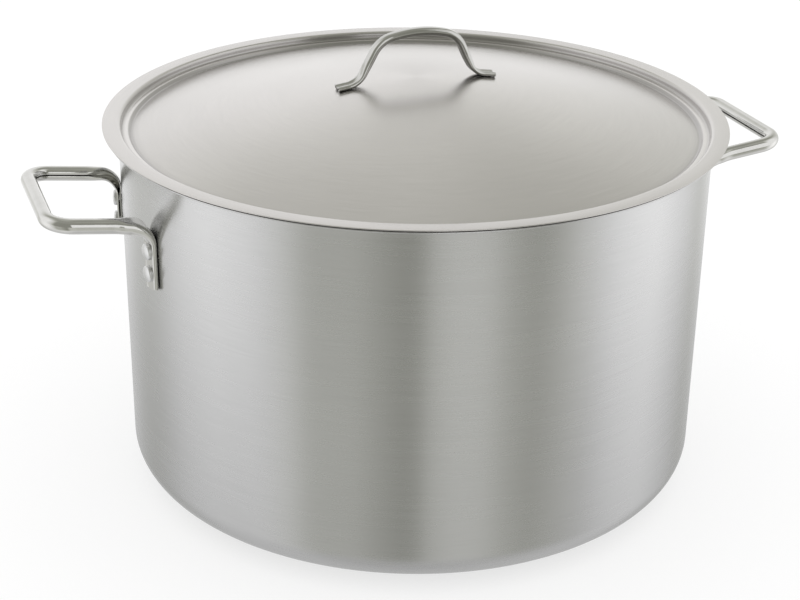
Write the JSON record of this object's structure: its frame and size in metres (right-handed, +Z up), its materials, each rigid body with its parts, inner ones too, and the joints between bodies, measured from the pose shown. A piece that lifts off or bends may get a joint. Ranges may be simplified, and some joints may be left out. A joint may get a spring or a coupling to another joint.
{
  "type": "stock pot",
  "caption": "Straight-sided steel stock pot with riveted loop handles, a sandwich base and a lift-off domed lid with a bridge handle.",
  "frame": {"origin": "centre of the face the pot stands on", "axes": "+Z up, +X through the side handles and along the lid's handle"},
  "size_m": [0.525, 0.4206, 0.314],
  "materials": {
    "body_steel": "satin, fine lines running round the wall",
    "lid_steel": "satin, fine concentric lines",
    "handle_steel": "polished, with small handling marks",
    "rivet_steel": "tumbled, soft shine",
    "base_steel": "turned, fine concentric lines",
    "core_aluminium": "plain rolled"
  },
  "bodies": {
    "pot": {"pot_body": "body_steel", "base_core": "core_aluminium", "base_cap": "base_steel", "right_handle": "handle_steel", "right_rivet_front_upper": "rivet_steel", "right_rivet_front_lower": "rivet_steel", "right_rivet_back_upper": "rivet_steel", "right_rivet_back_lower": "rivet_steel", "left_handle": "handle_steel", "left_rivet_front_upper": "rivet_steel", "left_rivet_front_lower": "rivet_steel", "left_rivet_back_upper": "rivet_steel", "left_rivet_back_lower": "rivet_steel"},
    "lid": {"lid_dish": "lid_steel", "lid_handle": "handle_steel"}
  },
  "joints": [
    {"name": "lid_lift", "type": "slide", "parent": "pot", "child": "lid", "axis": [0, 0, 1], "range_m": [0, 0.25]}
  ]
}
